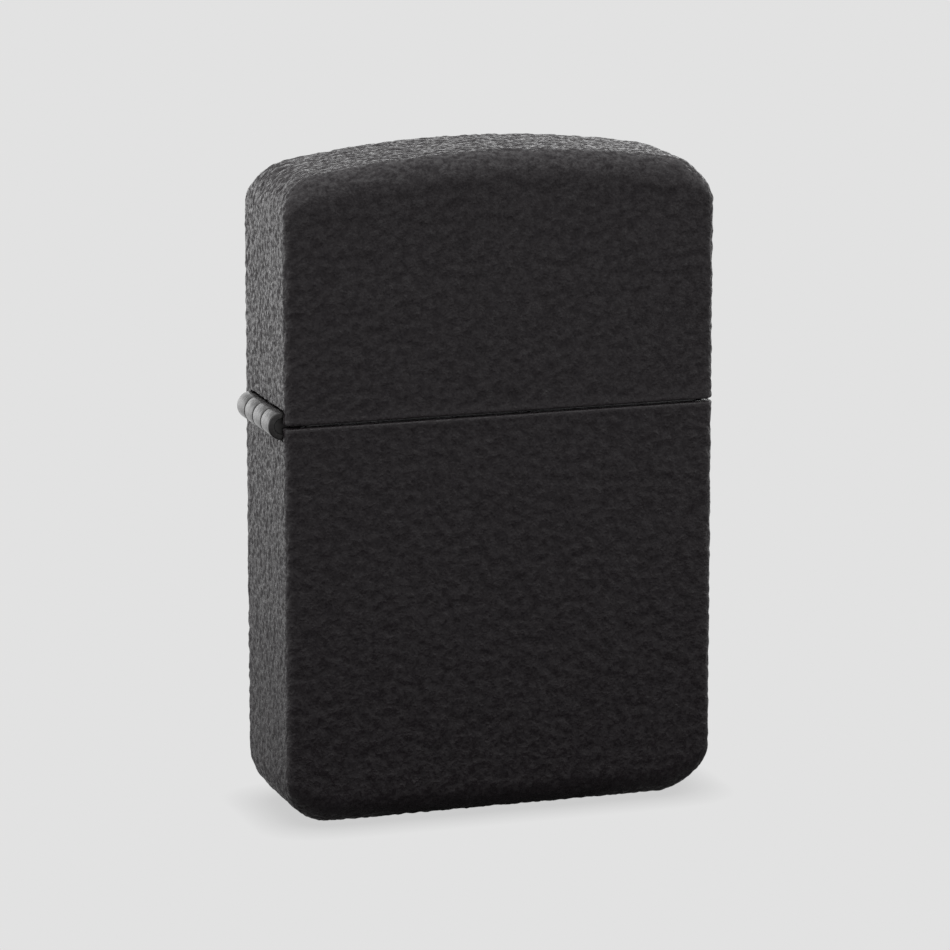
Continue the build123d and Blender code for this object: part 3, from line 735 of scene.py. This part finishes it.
def tuft_tree():
    """Geometry nodes that press hollows between the tufts of a pad."""
    tree, given = tree_with("tufted_pad", (("Tuft mm", 2.4), ("Hollow mm", 0.35), ("Seed", 1.0)))
    add = partial(add_node, tree)
    mm = add(VECTOR, {0: add("GeometryNodeInputPosition"), "Scale": 1 / MM}, operation="SCALE")
    per_tuft = add(MATH, (1.0, given["Tuft mm"]), operation="DIVIDE")
    lumps = add(NOISE, {
        "Vector": mm, "W": given["Seed"], "Scale": per_tuft, "Detail": 3.0}, noise_dimensions="4D")
    depth = add(MATH, (lumps, given["Hollow mm"]), operation="MULTIPLY")
    depth = add(MATH, (depth, -MM), operation="MULTIPLY")
    offset = add(VECTOR, {0: add("GeometryNodeInputNormal"), "Scale": depth}, operation="SCALE")
    moved = add("GeometryNodeSetPosition", {"Geometry": given["Geometry"], "Offset": offset})
    return close_tree(tree, moved, given)


PAD_CELL = 0.36


def make_pads():
    """Cotton packing and the felt under it, each a soft pad of its own."""
    tree = tuft_tree()
    pads = [(f"fuel_packing_{number}", wadding, "packing_cotton", 0.35, 0.8) for number in range(1, 6)]
    pads.append(("felt_pad", felt, "felt", 0.1, 0.95))
    for seed, (name, finish, slot, hollow, fill) in enumerate(pads):
        pad = copy_node(name, "soft_" + name)
        pad.data.materials.append(finish)
        step = pad.modifiers.new("even cells", "REMESH")
        step.mode = "VOXEL"
        step.voxel_size = PAD_CELL * MM
        settle(pad, 180)
        run_tree(pad, tree, Finish=finish, Seed=float(seed), **{"Hollow mm": hollow})
        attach(pad, "base")
        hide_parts(name)


def make_flint_spring():
    """The coil under the flint, a copy of the CAD spring left where it stands."""
    coil = copy_node("flint_spring", "coiled_flint_spring")
    coil.data.materials.append(spring_steel)
    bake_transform(coil)
    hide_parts("flint_spring")


make_wheel()
make_wick()
make_pads()
make_flint_spring()


# ---------------------------------------------------------------- CAD nodes that stay
for name, finish in (
    ("hinge_pin", pin_steel), ("insert_can", can_steel), ("chimney", chimney_steel),
    ("striker_axle", rivet_steel), ("cam", cam_steel),
    ("cam_rivet", rivet_steel), ("cam_spring", spring_steel), ("cam_spring_rivet", rivet_steel),
    ("flint_tube", brass), ("flint", ferrocerium), ("flint_plunger", rivet_steel), ("flint_screw", brass),
    ("wick_wire_1", copper), ("wick_wire_2", copper), ("wick_wire_3", copper),
):
    for place in nodes[name].material_slots:
        place.material = finish


# ---------------------------------------------------------------- floor, light and camera
STUDIO = "#E2E2E2"
FLOOR_REACH = 4000
ROOM_LEVEL = 0.28
CAMERA_TURN = math.radians(-18.44)
CAMERA_RISE = math.radians(12.38)
CAMERA_AWAY = 0.4513
CAMERA_LENS = 199.97
CAMERA_SHIFT = (0.00035, 0.00024)


def make_floor():
    """A pale floor with a thin contact shadow. Its glow fades towards the object; its underside is clear."""
    made, tree = new_material("pale_studio_floor")
    add = partial(add_node, tree)
    near = add("ShaderNodeAmbientOcclusion", {"Distance": 0.004}, samples=12)
    shade = add(RANGE, (near.outputs["AO"], 0.35, 1.0, 0.78, 1.0))
    seen = add("ShaderNodeEmission", {"Color": colour(STUDIO), "Strength": shade})
    place = add("ShaderNodeNewGeometry")
    away = add(VECTOR, (place,), operation="LENGTH")
    deep = add("ShaderNodeSeparateXYZ", (place,)).outputs["Y"]
    behind = add(RANGE, (add(MATH, (deep, away), operation="DIVIDE"), -0.5, 0.6, 0.0, 1.0))
    front_glow = add(RANGE, (away, 0.02, 0.28, 0.03, 0.38))
    back_glow = add(RANGE, (away, 0.02, 0.28, 0.38, 1.28))
    glow = add(RANGE, (behind, 0.0, 1.0, front_glow, back_glow))
    lit = add("ShaderNodeEmission", {"Color": colour("#FFFFFF"), "Strength": glow})
    clear = add("ShaderNodeBsdfTransparent")
    camera_ray = add("ShaderNodeLightPath").outputs["Is Camera Ray"]
    top = add("ShaderNodeMixShader", (camera_ray, lit, seen))
    both = add("ShaderNodeMixShader", (place.outputs["Backfacing"], top, clear))
    add("ShaderNodeOutputMaterial", {"Surface": both})
    corners = [(-FLOOR_REACH, -FLOOR_REACH, 0), (FLOOR_REACH, -FLOOR_REACH, 0),
               (FLOOR_REACH, FLOOR_REACH, 0), (-FLOOR_REACH, FLOOR_REACH, 0)]
    new_piece("studio_floor", corners, [(0, 1, 2, 3)], made)


def make_world():
    """Soft light: a bright backdrop low behind the object, dimmer overhead and in front."""
    world = bpy.data.worlds.new("soft_studio")
    scene.world = world
    world.use_nodes = True
    tree = world.node_tree
    tree.nodes.clear()
    add = partial(add_node, tree)
    way = add("ShaderNodeTexCoord").outputs["Generated"]
    parts = add("ShaderNodeSeparateXYZ", (way,)).outputs
    backdrop = add(RANGE, (parts["Y"], -0.3, 0.85, ROOM_LEVEL, 1.55))
    low_down = add(RANGE, (parts["Z"], 0.12, 0.4, 1.0, 0.32))
    overhead = add(RANGE, (parts["Z"], 0.25, 0.9, ROOM_LEVEL, 0.95))
    sideways = add(MATH, (parts["X"],), operation="ABSOLUTE")
    sides = add(RANGE, (sideways, 0.5, 0.9, ROOM_LEVEL, 0.8))
    level = add(MATH, (backdrop, low_down), operation="MULTIPLY")
    level = add(MATH, (level, overhead), operation="MAXIMUM")
    level = add(MATH, (level, sides), operation="MAXIMUM")
    camera_ray = add("ShaderNodeLightPath").outputs["Is Camera Ray"]
    lit = add("ShaderNodeBackground", {"Color": colour("#FFFFFF"), "Strength": level})
    plain = add("ShaderNodeBackground", {"Color": colour(STUDIO), "Strength": 1.0})
    both = add("ShaderNodeMixShader", (camera_ray, lit, plain))
    add("ShaderNodeOutputWorld", {"Surface": both})


def make_camera():
    """Long lens a little to the hinge side and a little above."""
    flat, rise = math.cos(CAMERA_RISE), math.sin(CAMERA_RISE)
    back = Vector((math.sin(CAMERA_TURN) * flat, -math.cos(CAMERA_TURN) * flat, rise))
    right = Vector((math.cos(CAMERA_TURN), math.sin(CAMERA_TURN), 0))
    up = back.cross(right)
    middle = Vector((0, 0, lid_high[2] * MM / 2)) - right * CAMERA_SHIFT[0] - up * CAMERA_SHIFT[1]
    data = bpy.data.cameras.new("camera")
    data.lens = CAMERA_LENS
    data.sensor_width = 36
    data.clip_start = 0.01
    camera = bpy.data.objects.new("camera", data)
    camera.location = middle + back * CAMERA_AWAY
    camera.rotation_mode = "QUATERNION"
    camera.rotation_quaternion = back.to_track_quat("Z", "Y")
    scene.collection.objects.link(camera)
    scene.camera = camera


make_floor()
make_world()
make_camera()
scene.view_settings.view_transform = "Standard"
